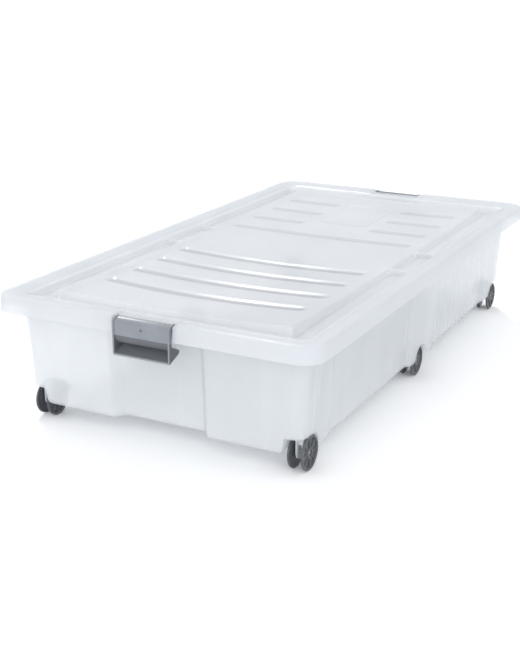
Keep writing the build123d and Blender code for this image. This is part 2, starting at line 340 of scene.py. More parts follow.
def turned_steel(name):
    """Plain steel pin with fine turning marks."""
    material, nodes, links = shader_nodes(name)
    marks = noise(nodes, links, 900.0, 2.0, (1.0, 0.05, 0.05))
    spots = noise(nodes, links, 160.0, 4.0)
    surface = nodes.new("ShaderNodeBsdfPrincipled")
    surface.inputs["Metallic"].default_value = 1.0
    links.new(
        ramp(nodes, links, spots, 0.35, 0.7, (0.42, 0.43, 0.45, 1), (0.62, 0.63, 0.65, 1)),
        surface.inputs["Base Color"],
    )
    links.new(span(nodes, links, marks, 0.25, 0.45), surface.inputs["Roughness"])
    links.new(bump(nodes, links, marks, 0.0001, 0.3), surface.inputs["Normal"])
    output = nodes.new("ShaderNodeOutputMaterial")
    links.new(surface.outputs[0], output.inputs["Surface"])
    return material


tub_plastic = clear_plastic(
    "tub_plastic", (0.83, 0.85, 0.87, 1), (0.78, 0.80, 0.825, 1), 0.47, 0.26, 0.42, 900.0,
    (1.0, 1.0, 0.07),
)
# the lid's two marks are painted shade on the groove floors and painted light on the steep walls of
# the plateau and ring
lid_plastic = clear_plastic(
    "lid_plastic", (0.74, 0.757, 0.779, 1), (0.70, 0.722, 0.75, 1), 0.64, 0.12, 0.34, 1400.0,
    (0.5, 0.5, 0.5),
    (("sunk", (0.40, 0.41, 0.43, 1), 0.55), ("edge", (0.93, 0.94, 0.95, 1), 0.75)),
)
# the last values paint shade into the clip: darker under 172 mm and set back within 3.2 mm of the
# lid's edge, in its cavity
clip_plastic = solid_plastic(
    "clip_plastic", (0.190, 0.207, 0.231, 1), (0.215, 0.233, 0.257, 1), 0.30, 1500.0, 0.05,
    (172.0, LID_HALF_Y + 3.2, 0.50),
)
wheel_plastic = solid_plastic(
    "wheel_plastic", (0.062, 0.067, 0.075, 1), (0.110, 0.117, 0.128, 1), 0.32, 1300.0, 0.18
)
bracket_plastic = clear_plastic(
    "bracket_plastic", (0.86, 0.88, 0.90, 1), (0.80, 0.82, 0.84, 1), 0.90, 0.30, 0.35, 900.0,
    (1.0, 1.0, 0.3),
)
axle_steel = turned_steel("axle_steel")


def dress(piece, material, body, slot, *nodes):
    """Gives a piece its material and makes it ride its body in place of its nodes. The slot is not
    used.
    """
    piece.data.materials.clear()
    piece.data.materials.append(material)
    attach(piece, body)
    if nodes:
        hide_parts(*nodes)
    return piece


# ---------------------------------------------------------------- tub
def tub_half(z):
    """Half sizes of the tub's plan at height z."""
    grow = DRAFT * (z - TUB_BOTTOM)
    return TUB_HALF_X + grow, TUB_HALF_Y + grow


def panel_fade(z):
    """1 on the panelled wall, 0 in the plain band under the rim."""
    return clamp((BAND_HIGH - z) / (BAND_HIGH - BAND_LOW))


def end_recess(x, z):
    """How far the middle of an end wall stands in."""
    ramp_in = clamp((RECESS_HALF - abs(x)) / RECESS_DEPTH)
    return RECESS_DEPTH * (0.25 * ramp_in + 0.75 * smooth(ramp_in)) * panel_fade(z)


def side_relief(y, z):
    """How far a side wall stands out at y: pilaster, sunk panels and the flutes of the rear panel."""
    fade = panel_fade(z)
    height = clamp((z - TUB_BOTTOM) / (BAND_LOW - TUB_BOTTOM))
    pilaster = smooth((PILASTER_HALF + 4.0 - abs(y)) / 4.0)
    foot = (0.6 + (PILASTER_FOOT - 0.6) * (1 - height)) * pilaster
    sunk = smooth((abs(y) - PILASTER_HALF - 4.0) / 3.0) * smooth((PANEL_END - abs(y)) / 3.0)
    flutes = 0.0
    if FLUTE_START < y < FLUTE_END:
        flutes = FLUTE_DEPTH * (0.5 - 0.5 * cos(2 * pi * (y - FLUTE_START) / FLUTE_PITCH))
    return (foot - PANEL_DEPTH * sunk - flutes * sunk) * fade


def well_roof(end, x, y, corner):
    """Height of the lower edge of the wall: the floor, or the roof of a wheel well."""
    if corner:
        return WELL_TOP
    if end:
        across = abs(x) - WELL_EDGE
        if across <= -WELL_ROUND:
            return TUB_BOTTOM
        low = TUB_BOTTOM + WELL_ROUND
        if across <= 0.0:
            return low - sqrt(max(WELL_ROUND**2 - (across + WELL_ROUND) ** 2, 0.0))
        return low + (WELL_TOP - low) * smooth(across / 2.6 + 0.12)
    for row in WHEEL_ROWS:
        along = y - row
        if row * along > 0:
            return WELL_TOP
        if abs(along) < ARCH_RADIUS:
            return max(WHEEL_RADIUS + sqrt(ARCH_RADIUS**2 - along**2), TUB_BOTTOM)
    return TUB_BOTTOM


def tub_columns():
    """The right half of the tub's outline from the front's middle to the rear's, as (kind, place)."""
    across = [0.0, 18.0, 36.0, 40.5, 42.0, 47.0, 50.0, 52.5, 56.0, 60.0, 63.0, 64.5]
    across += [66.5, 69.0, 72.0, 75.0, 77.5, 79.5, 81.0, 84.0, 92.0, 108.0, 126.0, 146.0, 166.0]
    across += [180.0, 186.6, 189.5, 191.5, 192.8, WELL_EDGE, 193.8, 194.6, 195.4, 196.3, 199.0, 202.5]
    arch = [ARCH_RADIUS * sin(radians(angle)) for angle in range(0, 81, 8)]
    arch += [27.25, 27.6, 29.0]
    rear = [PILASTER_HALF - 4.0, 46.0, 47.3, 48.7, 50.0, 51.0, 52.0, 53.0, 56.0]
    rear += spread(60.0, 341.0, 77) + [345.0, 349.0, 350.0, 351.0, 352.0, 356.0, 366.0]
    front = rear[:9] + spread(60.0, 341.0, 20) + rear[-7:]
    well = [420.0, 415.0] + [409.0 - step for step in arch]
    middle = [36.0] + arch[::-1]
    side = [-y for y in well] + [-y for y in reversed(front)] + [-y for y in middle]
    side += middle[::-1][1:] + rear + well[::-1]
    arc = [step / 8.0 for step in range(1, 8)]
    columns = [("front", x) for x in across]
    columns += [("corner_front", share) for share in arc]
    columns += [("side", y) for y in side]
    columns += [("corner_rear", share) for share in reversed(arc)]
    columns += [("rear", x) for x in reversed(across)]
    return columns


def tub_point(column, z, inset):
    """Plan position of a column at height z, drawn in by inset."""
    kind, place = column
    half_x, half_y = tub_half(z)
    radius = max(TUB_CORNER - inset, 1.2)
    flat_x = half_x - inset - radius
    flat_y = half_y - inset - radius
    end = -1.0 if kind in ("front", "corner_front") else 1.0
    if kind in ("front", "rear"):
        limit = TUB_HALF_X - TUB_CORNER
        x = place * flat_x / limit
        if inset > 0:
            x = min(place, flat_x * (0.985 + 0.015 * place / limit))
        if place < 150.0:
            x = place
        return x, end * (half_y - inset - end_recess(place, z))
    if kind == "side":
        y = max(-flat_y, min(flat_y, place))
        if abs(place) > flat_y:
            y = (1 if place > 0 else -1) * flat_y * (0.985 + 0.015 * abs(place) / 420.0)
            y = max(-flat_y, min(flat_y, y))
        return half_x - inset + side_relief(place, z), y
    angle = place * pi / 2
    return flat_x + radius * sin(angle), end * (flat_y + radius * cos(angle))


def rim_point(column, outset, extra=0.0):
    """Plan position on the rim flange, outset from the wall; behind a clip it is set back."""
    kind, place = column
    reach = outset
    if kind in ("front", "rear"):
        setback = smooth((56.0 - place) / 6.0)
        reach = outset + (min(outset, CATCH_OUT) - outset) * setback
    reach += extra
    x, y = tub_point(column, BAND_HIGH, 0.0)
    if kind == "side":
        return x + reach, y
    if kind in ("front", "rear"):
        return x, y + (reach if y > 0 else -reach)
    end = 1 if y > 0 else -1
    angle = place * pi / 2
    return x + reach * sin(angle), y + end * reach * cos(angle)


def tub_profile(column):
    """One column's section: outside from under the floor over the rim, then back down the inside."""
    kind, place = column
    corner = kind.startswith("corner")
    end = kind in ("front", "rear")
    edge_x, edge_y = tub_point(column, TUB_BOTTOM, 0.0)
    roof = well_roof(end, place if end else edge_x, place if kind == "side" else edge_y, corner)
    open_share = clamp((roof - TUB_BOTTOM) / 6.0)
    edge = 4.0 - 2.4 * open_share
    lift = min(2.0, roof - TUB_BOTTOM)
    outside = [
        (WELL_DEPTH + 9.0, TUB_BOTTOM),
        (WELL_DEPTH + 1.2, TUB_BOTTOM),
        (WELL_DEPTH + 0.4, roof - lift),
        (WELL_DEPTH - 1.6, roof),
        (16.0, roof),
        (edge, roof),
        (edge * 0.30, roof + edge * 0.30),
        (0.0, roof + edge),
    ]
    wall = TUB_WALL
    inside = [
        (wall, roof + edge + wall * 0.4),
        (wall + edge * 0.30, roof + wall + edge * 0.20),
        (wall + edge, roof + wall),
        (17.0, roof + wall),
        (WELL_DEPTH - 0.4, roof + wall),
        (WELL_DEPTH + 0.4 + wall, roof - lift + wall),
        (WELL_DEPTH + 1.2 + wall, TUB_BOTTOM + wall),
        (WELL_DEPTH + 9.0 + wall, TUB_BOTTOM + wall),
    ]
    start = roof + edge + 2.5
    levels = [start] + [start + (BAND_LOW - start) * step / 9 for step in range(1, 10)]
    levels += [BAND_HIGH, 186.2]
    lip = LIP_Z
    if end:
        lip -= (LIP_Z - CATCH_BOTTOM) * smooth((CATCH_HALF + 0.6 - place) / 1.2)
    under = [(0.5, 187.6), (2.0, FLANGE_UNDER), (FLANGE_OUT - 1.0, FLANGE_UNDER)]
    under += [(FLANGE_OUT, FLANGE_UNDER - 1.0), (FLANGE_OUT, 184.6), (FLANGE_OUT, lip)]
    crest = FLANGE_UNDER + wall
    over = [(FLANGE_OUT, wall, lip), (FLANGE_OUT, wall, 184.6), (FLANGE_OUT, wall, crest - 0.8)]
    over += [(FLANGE_OUT - 0.4, wall - 0.6, crest), (1.0, 0.0, crest), (0.0, -1.6, crest)]
    over += [(0.0, -wall, crest - 0.8)]
    points = [tub_point(column, z, inset) + (z,) for inset, z in outside]
    points += [tub_point(column, z, 0.0) + (z,) for z in levels]
    points += [rim_point(column, outset) + (z,) for outset, z in under]
    points += [rim_point(column, outset, extra) + (z,) for outset, extra, z in over]
    for z in reversed(levels):
        rise = 2.0 if BAND_LOW <= z <= BAND_HIGH else 0.0
        points.append(tub_point(column, z, wall) + (z + rise,))
    points += [tub_point(column, z, inset) + (z,) for inset, z in inside]
    return points


def mirrored_loops(profiles):
    """Closed loops from the right half's profiles and their mirror image."""
    left = [[(-x, y, z) for x, y, z in profile] for profile in profiles[1:-1]]
    around = profiles + left[::-1]
    return [[profile[level] for profile in around] for level in range(len(profiles[0]))]


def build_tub():
    """The tub's shell, its outer and inner skin in one closed surface."""
    loops = mirrored_loops([tub_profile(column) for column in tub_columns()])
    return finished(skin("tub_shell", loops), 40.0)


def build_floor_ribs():
    """Low diagonal treads moulded across the inside of the floor, with a plain border."""
    work = bmesh.new()
    low, high = TUB_BOTTOM + TUB_WALL - 0.3, TUB_BOTTOM + TUB_WALL + 1.1
    limit_x, limit_y = TREAD_FIELD
    cell_width = 2 * limit_x / TREAD_CELLS
    first = -(limit_y + TREAD_SLOPE * limit_x)
    while first < limit_y + TREAD_SLOPE * limit_x:
        for cell in range(TREAD_CELLS):
            x_low = -limit_x + cell * cell_width + 2.5
            x_high = x_low + cell_width - 5.0
            lean = TREAD_SLOPE if cell % 2 else -TREAD_SLOPE
            middle = (x_low + x_high) / 2
            ends = [(x, first + lean * (x - middle)) for x in (x_low, x_high)]
            if max(abs(y) for _, y in ends) < limit_y:
                tread(work, ends, low, high)
        first += TREAD_PITCH
    return finished(raw_object("floor_treads", work), 50.0)


def tread(work, ends, low, high):
    """One low rounded bar between two points of the floor."""
    rows = []
    for share, width, top in ((0.0, 0.5, 0.35), (0.06, 1.0, 1.0), (0.94, 1.0, 1.0), (1.0, 0.5, 0.35)):
        x = ends[0][0] + (ends[1][0] - ends[0][0]) * share
        y = ends[0][1] + (ends[1][1] - ends[0][1]) * share
        crest = low + (high - low) * top
        reach = TREAD_HALF * width
        section = [(-reach, low), (-reach * 0.62, (low + 2 * crest) / 3), (0, crest)]
        section += [(reach * 0.62, (low + 2 * crest) / 3), (reach, low)]
        rows.append(verts_at(work, [(x, y + d, z) for d, z in section]))
    bridge(work, rows)
    cap(work, rows)


def build_brackets():
    """The axle cheeks: two thin plates in each well, round below and joined to the roof above."""
    work = bmesh.new()
    for row in WHEEL_ROWS:
        for side in (-1, 1):
            for inner in CHEEK_FACES:
                cheek(work, side * inner, side * (inner + CHEEK_THICKNESS), row)
            for offset in (-7.0, 7.0):
                web(work, side * 206.3, side * 213.3, row + offset)
    brackets = raw_object("axle_brackets", work)
    soft = brackets.modifiers.new("edges", "BEVEL")
    soft.width = 0.35 * MM
    soft.segments = 2
    soft.limit_method = "ANGLE"
    return finished(brackets, 40.0)


def cheek(work, x_in, x_out, row):
    """One cheek with its bore, standing up into the roof of the well."""
    outer, inner = [], []
    for step in range(CHEEK_STEPS):
        angle = 2 * pi * step / CHEEK_STEPS
        c, s = cos(angle), sin(angle)
        inner.append((row + CHEEK_BORE * c, WHEEL_RADIUS + CHEEK_BORE * s))
        y, z = CHEEK_RADIUS * c, CHEEK_RADIUS * s
        if s > 0:
            z = CHEEK_TOP
            y = CHEEK_RADIUS * (c if abs(c) > 0.999 else clamp(c / max(s, 1e-6) * 2.2, -1, 1))
            if abs(c) > s * 0.4545:
                y = CHEEK_RADIUS * (1 if c > 0 else -1)
                z = min(CHEEK_RADIUS * s / max(abs(c), 1e-6) * 1.15, CHEEK_TOP)
        outer.append((row + y, WHEEL_RADIUS + z))
    plates = [
        [verts_at(work, [(x, y, z) for y, z in outline]) for outline in (outer, inner)]
        for x in (x_in, x_out)
    ]
    (outer_a, inner_a), (outer_b, inner_b) = plates
    for index in range(CHEEK_STEPS):
        after = (index + 1) % CHEEK_STEPS
        work.faces.new((outer_a[index], outer_a[after], inner_a[after], inner_a[index]))
        work.faces.new((outer_b[after], outer_b[index], inner_b[index], inner_b[after]))
        work.faces.new((outer_a[after], outer_a[index], outer_b[index], outer_b[after]))
        work.faces.new((inner_a[index], inner_a[after], inner_b[after], inner_b[index]))


def web(work, x_in, x_out, y):
    """A thin web that ties the two cheeks together above the axle."""
    low, high = WHEEL_RADIUS + 12.0, WELL_TOP + 0.4
    corners = [(x, y + d, z) for x in (x_in, x_out) for d in (-1.0, 1.0) for z in (low, high)]
    verts = verts_at(work, corners)
    for face in ((0, 1, 3, 2), (4, 6, 7, 5), (0, 4, 5, 1), (2, 3, 7, 6), (0, 2, 6, 4), (1, 5, 7, 3)):
        work.faces.new([verts[index] for index in face])


# ---------------------------------------------------------------- lid
def groove_bow(t):
    """How far a row's ends stand behind its middle; it fades out towards the ends of the lid."""
    if t < BOW_FRONT:
        return GROOVE_BOW * smooth((t + GRID_Y) / (GRID_Y + BOW_FRONT))
    if t < BOW_REAR:
        return GROOVE_BOW
    return GROOVE_BOW * (1 - smooth((t - BOW_REAR) / BOW_FADE))


def plateau_height(x, y):
    """The lid's plateau is highest at its corners and lowest along its middle."""
    along = clamp(abs(y) / PLATEAU_Y) ** 4
    across = clamp(abs(x) / PLATEAU_X) ** 2
    return PLATEAU_Z + CORNER_RISE * along * (0.4 + 0.6 * across) + SIDE_RISE * across


def groove_place(x, t):
    """How deep a point lies inside the nearest groove's edge, and how far behind its middle."""
    inside, behind = -1000.0, 0.0
    for row in FRONT_ROWS + [LONG_ROW] + SHORT_ROWS:
        beyond = abs(x) - GROOVE_END
        if row in SHORT_ROWS:
            beyond = max(abs(x) - SHORT_END, SHORT_START - abs(x))
        depth = GROOVE_HALF - hypot(max(beyond, 0.0), t - row)
        if depth > inside:
            inside, behind = depth, t - row
    return inside, behind


def groove_shape(x, t):
    """Depth of the grooves and the blank label field, and how much painted shade a point on a
    groove's floor gets.
    """
    inside, behind = groove_place(x, t)
    far_ramp = FAR_RAMP if t < 0.0 else FAR_RAMP_REAR
    ramp_width = NEAR_RAMP + (far_ramp - NEAR_RAMP) * smooth(0.5 + behind / GROOVE_HALF)
    share = clamp(inside / ramp_width)
    field = min(LABEL_X - abs(x), t - LABEL_LOW, LABEL_HIGH - t)
    depth = GROOVE_DEPTH * share + LABEL_DEPTH * smooth(field / 2.0 + 0.5)
    # the second value is painted shade for the groove floors, full on the front rows and weaker on
    # the rear rows
    if t < 0.0:
        return depth, smooth((share - 0.55) / 0.45)
    return depth, 0.6 * smooth(share * 1.6)


def grid_lines():
    """Where the plateau's grid lines run: close together where a groove or the label has its edge."""
    half_x = [0.0, 14.0, 28.0, 38.0, 43.5, 44.5, 45.5, 46.5, 47.5, 48.5, 52.0]
    half_x += [56.0, 58.4, 59.6, 60.7, 61.7, 62.5, 63.3, 64.1, 64.9, 66.5, 69.5, 73.0, 78.0, 88.0]
    half_x += [100.0, 112.0, 124.0, 136.0, 146.0, 154.0, 158.0, 161.0, 163.5, 165.5, 167.0, 168.1]
    half_x += [168.9, 169.7, 170.5, 171.3, 172.3, 173.4, 174.6, 177.0, 181.0]
    xs = [-x for x in half_x[:0:-1]] + half_x
    xs = [-GRID_X] + xs + [GRID_X]
    marks = {-GRID_Y, GRID_Y, 0.0}
    for row in FRONT_ROWS + [LONG_ROW] + SHORT_ROWS:
        for side in (-1, 1):
            edge = row + side * GROOVE_HALF
            marks.update(edge + side * step for step in GROOVE_STEPS)
        marks.update((row - 8.0, row - 3.0, row + 3.0, row + 8.0))
    for edge in (LABEL_LOW, LABEL_HIGH):
        marks.update(edge + step for step in (-1.2, 0.0, 1.2))
    for side in (-1, 1):
        for step in (-CRADLE_HALF - 3.4, -CRADLE_HALF, CRADLE_HALF, CRADLE_HALF + 3.4):
            marks.add(side * CRADLE_Y + step)
    ordered = sorted(marks)
    ts = [ordered[0]]
    for mark in ordered[1:]:
        if mark - ts[-1] < 0.45:
            continue
        gap = mark - ts[-1]
        pieces = max(1, round(gap / 9.0))
        ts += spread(ts[-1], mark, pieces)[1:]
    ts[-1] = GRID_Y
    return xs, ts


def stretch(place, kept, grid_half, target):
    """Places up to kept stay; past it they stretch so that grid_half lands on target."""
    size = abs(place)
    if size <= kept:
        return place
    moved = kept + (size - kept) * (target - kept) / (grid_half - kept)
    return moved if place > 0 else -moved


def lid_loop(xs, ts, half_x, half_y, radius, height, notch=0.0, round_off=0.0):
    """A loop round the lid: a rounded rectangle, cut back by notch where the clips sit."""
    arc = 10
    flat_x, flat_y = half_x - radius, half_y - radius
    front = []
    for x in xs:
        place = stretch(x, 60.0, GRID_X, flat_x)
        depth = 0.0
        if notch:
            size = abs(place)
            depth = notch * smooth((NOTCH_HALF + round_off + 2.1 - size) / 2.1)
        front.append((place, half_y - depth))
    side = [stretch(t, 70.0, GRID_Y, flat_y) for t in ts]
    corner = [pi / 2 * step / arc for step in range(1, arc)]
    loop = [(x, -y) for x, y in front]
    loop += [(flat_x + radius * sin(a), -flat_y - radius * cos(a)) for a in corner]
    loop += [(half_x, y) for y in side]
    loop += [(flat_x + radius * cos(a), flat_y + radius * sin(a)) for a in corner]
    loop += [(x, y) for x, y in reversed(front)]
    loop += [(-flat_x - radius * sin(a), flat_y + radius * cos(a)) for a in corner]
    loop += [(-half_x, y) for y in reversed(side)]
    loop += [(-flat_x - radius * cos(a), -flat_y - radius * sin(a)) for a in corner]
    return [(x, y, height(x, y)) for x, y in loop]


def gutter_height(level, drop=0.0):
    """Height of the channel's floor at a given level, raised where the cradle ribs cross it."""

    def height(x, y):
        rib = 0.0
        if abs(x) > PLATEAU_X - 4.0 and abs(y) < 120.0:
            rib = smooth((CRADLE_HALF + 2.4 - drop * 0.5 - abs(abs(y) - CRADLE_Y)) / 2.0)
        return level - drop + (max(CRADLE_Z, level) - level) * rib

    return height


def flat(level, dip=0.0):
    """A level height that dips behind the clips, so that the tops of the clips stand free."""
    if not dip:
        return lambda x, y: level
    return lambda x, y: level - dip * smooth((NOTCH_HALF + 2.5 - abs(x)) / 4.0) * (abs(y) > 400.0)


def build_lid():
    """The lid's plateau as a grid, and loops from it over the ring and back along the underside."""
    xs, ts = grid_lines()
    grid = []
    for t in ts:
        line = []
        for x in xs:
            fade = smooth((GRID_X - abs(x)) / 12.0)
            y = t + groove_bow(t) * (min(abs(x), GROOVE_HALF + GROOVE_END) / GROOVE_END) ** 2 * fade
            if abs(x) >= GRID_X:
                y = t
            # floor is how much painted shade the point gets
            depth, floor = groove_shape(x, t)
            line.append((x, y, plateau_height(x, y) - depth, floor))
        grid.append(line)

    def top(drop):
        return lambda x, y: plateau_height(x, y) - drop

    wall = LID_WALL
    loops = [
        lid_loop(xs, ts, GRID_X, GRID_Y, 0.0, top(0.0)),
        lid_loop(xs, ts, PLATEAU_X - 1.3, PLATEAU_Y - 1.3, 1.5, top(0.0)),
        lid_loop(xs, ts, PLATEAU_X - 0.4, PLATEAU_Y - 0.4, 2.2, top(0.35)),
        lid_loop(xs, ts, PLATEAU_X, PLATEAU_Y, 2.5, top(1.3)),
        lid_loop(xs, ts, PLATEAU_X + 1.5, PLATEAU_Y + 1.5, 3.4, gutter_height(GUTTER_Z + 2.4)),
        lid_loop(xs, ts, PLATEAU_X + 2.3, PLATEAU_Y + 2.3, 4.0, gutter_height(GUTTER_Z + 0.8)),
        lid_loop(xs, ts, PLATEAU_X + 4.0, PLATEAU_Y + 4.0, 5.0, gutter_height(GUTTER_Z)),
        lid_loop(xs, ts, CHANNEL_MID_X, CHANNEL_MID_Y, 8.0, gutter_height(GUTTER_Z)),
        lid_loop(xs, ts, RING_X - 2.4, RING_Y - 2.4, 11.0, gutter_height(GUTTER_Z)),
        lid_loop(xs, ts, RING_X - 0.8, RING_Y - 0.8, 12.0, gutter_height(GUTTER_Z + 0.8)),
        lid_loop(xs, ts, RING_X, RING_Y, 12.5, gutter_height(GUTTER_Z + 2.6)),
        lid_loop(xs, ts, RING_X + 0.5, RING_Y + 0.5, 13.0, flat(191.4)),
        lid_loop(xs, ts, RING_X + 1.7, RING_Y + 1.7, 14.0, flat(193.2)),
        lid_loop(xs, ts, 229.0, 437.5, 16.0, flat(195.6, 0.4)),
        lid_loop(xs, ts, 236.0, 445.0, 20.0, flat(197.3, 1.9)),
        lid_loop(xs, ts, 243.0, 453.0, 23.0, flat(198.6, 3.5), 2.0, 2.0),
        lid_loop(xs, ts, 249.0, 463.5, 26.0, flat(LID_TOP, CLIP_DIP), 7.5, 2.0),
    ]
    for step in range(1, 8):
        angle = radians(90 - 90 * step / 7)
        out = BULL * (1 - cos(angle))
        down = BULL * (1 - sin(angle))
        dip = CLIP_DIP * clamp(1 - down / 5.0)
        loops.append(
            lid_loop(
                xs, ts, LID_HALF_X - out - 0.5, LID_HALF_Y - out - 0.5, LID_CORNER - out,
                flat(LID_TOP - down, dip), NOTCH_DEPTH - 0.4 - 0.45 * out, out * 0.35,
            )
        )
    for share in (0.35, 0.8, 1.0):
        z = LID_TOP - BULL + (LID_BOTTOM - LID_TOP + BULL) * share
        out = 0.5 * (1 - share)
        loops.append(
            lid_loop(xs, ts, LID_HALF_X - out, LID_HALF_Y - out, LID_CORNER, flat(z), NOTCH_DEPTH)
        )
    # the underside, from the skirt's lower edge back up to the middle of the lid
    for z in (LID_BOTTOM, 181.0, LID_TOP - BULL):
        loops.append(
            lid_loop(
                xs, ts, LID_HALF_X - wall, LID_HALF_Y - wall, LID_CORNER - wall, flat(z),
                NOTCH_DEPTH, wall,
            )
        )
    inner_bull = BULL - wall
    for step in range(1, 5):
        angle = radians(90 * step / 4)
        out = inner_bull * (1 - cos(angle))
        z = LID_TOP - BULL + inner_bull * sin(angle)
        loops.append(
            lid_loop(
                xs, ts, LID_HALF_X - wall - 0.5 - out, LID_HALF_Y - wall - 0.5 - out,
                LID_CORNER - wall - out, flat(z, CLIP_DIP * clamp((step - 1) / 3.0)),
                NOTCH_DEPTH - 0.4 - 0.45 * out, wall,
            )
        )
    loops += [
        lid_loop(xs, ts, 247.0, 461.0, 24.0, flat(LID_TOP - wall, CLIP_DIP), 7.2, 4.0),
        lid_loop(xs, ts, 242.0, 451.8, 22.0, flat(198.4 - wall, 3.5), 2.0, 4.0),
        lid_loop(xs, ts, 236.6, 445.4, 20.0, flat(197.3 - wall, 1.9)),
        lid_loop(xs, ts, 230.4, 438.9, 16.8, flat(195.3 - wall, 0.4)),
        lid_loop(xs, ts, RING_X + 3.2, RING_Y + 3.2, 15.0, flat(190.6)),
        lid_loop(xs, ts, RING_X + wall, RING_Y + wall, 14.0, flat(186.0)),
        lid_loop(xs, ts, RING_X + 1.4, RING_Y + 1.4, 13.4, gutter_height(GUTTER_Z + 0.5, wall)),
        lid_loop(xs, ts, RING_X - 1.0, RING_Y - 1.0, 12.0, gutter_height(GUTTER_Z, wall)),
        lid_loop(xs, ts, CHANNEL_MID_X, CHANNEL_MID_Y, 8.0, gutter_height(GUTTER_Z, wall)),
        lid_loop(xs, ts, PLATEAU_X + 0.6, PLATEAU_Y + 0.6, 3.2, gutter_height(GUTTER_Z, wall)),
        lid_loop(xs, ts, PLATEAU_X - 1.0, PLATEAU_Y - 1.0, 2.2, gutter_height(GUTTER_Z + 1.0, wall)),
        lid_loop(xs, ts, PLATEAU_X - wall, PLATEAU_Y - wall, 1.4, top(wall + 0.8)),
        lid_loop(xs, ts, PLATEAU_X - wall - 0.8, PLATEAU_Y - wall - 0.8, 0.6, top(wall)),
        lid_loop(xs, ts, GRID_X, GRID_Y, 0.0, top(wall)),
    ]
    work = bmesh.new()
    # two marks paint colour onto the lid: painted shade on the groove floors and painted light on the
    # steep walls
    for mark in ("sunk", "edge"):
        work.verts.layers.float.new(mark)
    sunk, edge = (work.verts.layers.float[mark] for mark in ("sunk", "edge"))
    for drop in (0.0, wall):
        lines = []
        for line in grid:
            lines.append(verts_at(work, [(x, y, z - drop) for x, y, z, _ in line]))
            for vertex, place in zip(lines[-1], line):
                vertex[sunk] = place[3]
        bridge(work, lines, closed=False)
    rows = [verts_at(work, loop) for loop in loops]
    # painted light: the steep walls of the plateau and the ring get a paler colour, standing in for
    # light passing through them, so they look whiter than the flats
    for index in PAINTED_LIGHT_LOOPS:
        for vertex in rows[index]:
            vertex[edge] = 1.0
    bridge(work, rows)
    bmesh.ops.remove_doubles(work, verts=work.verts, dist=1e-6)
    return finished(as_object("lid_shell", work), 50.0)


# ---------------------------------------------------------------- clips
CLIP_HALF, PIVOT_IN, PIVOT_Z = 45.5, 9.0, 193.4
CLIP_WALL, PIN_RADIUS, PIN_REACH = 2.4, 2.5, 3.5
DIMPLE_RADIUS, DIMPLE_Z = 2.2, 184.0


def plate(work, outline, x_low, x_high):
    """A flat plate: an outline of (out, z) points, swept from x_low to x_high."""
    sides = [verts_at(work, [(x, out, z) for out, z in outline]) for x in (x_low, x_high)]
    bridge(work, sides)
    cap(work, sides)


def arc_points(centre, radius, start, end, count):
    """Points of an arc in the clip's side view, angles in degrees from the outward direction."""
    return [
        (centre[0] + radius * cos(radians(a)), centre[1] + radius * sin(radians(a)))
        for a in spread(start, end, count)
    ]


def clip_parts():
    """The clip's solids as outlines in its side view: out from the lid's edge, and height."""
    side = [(3.9, 144.6), (3.9, 189.4)]
    side += arc_points((1.9, 191.0), 2.0, 0, 62, 5)
    side += [(-2.0, 195.4), (-5.0, 197.0), (-8.0, 197.6), (-10.4, 197.2)]
    side += arc_points((-PIVOT_IN, PIVOT_Z), 3.6, 125, 215, 6)
    side += [(-PIVOT_IN - 1.0, 188.9), (-3.2, 185.0), (-1.8, 182.0), (-1.4, 169.5)]
    side += [(-3.0, 166.4), (-19.9, 157.8), (-21.2, 156.6), (-21.3, 154.2), (-20.2, 152.7)]
    side += [(2.6, 143.6), (3.5, 143.8)]
    panel = [(1.6, 190.2), (2.0, 187.5), (2.2, 182.0), (2.2, 176.0), (2.0, 172.4)]
    panel += [(0.8, 167.0), (-0.9, 162.6), (-2.1, 161.2), (-3.6, 161.4), (-3.4, 163.0)]
    panel += [(-1.8, 167.6), (-0.4, 172.4), (-0.2, 176.0), (-0.2, 182.0), (-0.4, 186.6)]
    panel += [(-1.4, 189.4), (-5.0, 191.4), (-PIVOT_IN, 191.0), (-PIVOT_IN - 2.9, 192.2)]
    panel += arc_points((-PIVOT_IN, PIVOT_Z), 2.9, 180, 90, 5)
    panel += [(-4.2, 194.8), (-1.4, 193.5), (0.6, 192.0)]
    shelf = [(3.9, 143.7), (3.9, 145.6), (2.7, 146.4), (-19.8, 157.6), (-21.2, 156.4), (-21.2, 154.3)]
    shelf += [(-20.2, 152.8), (2.9, 143.1)]
    return side, panel, shelf


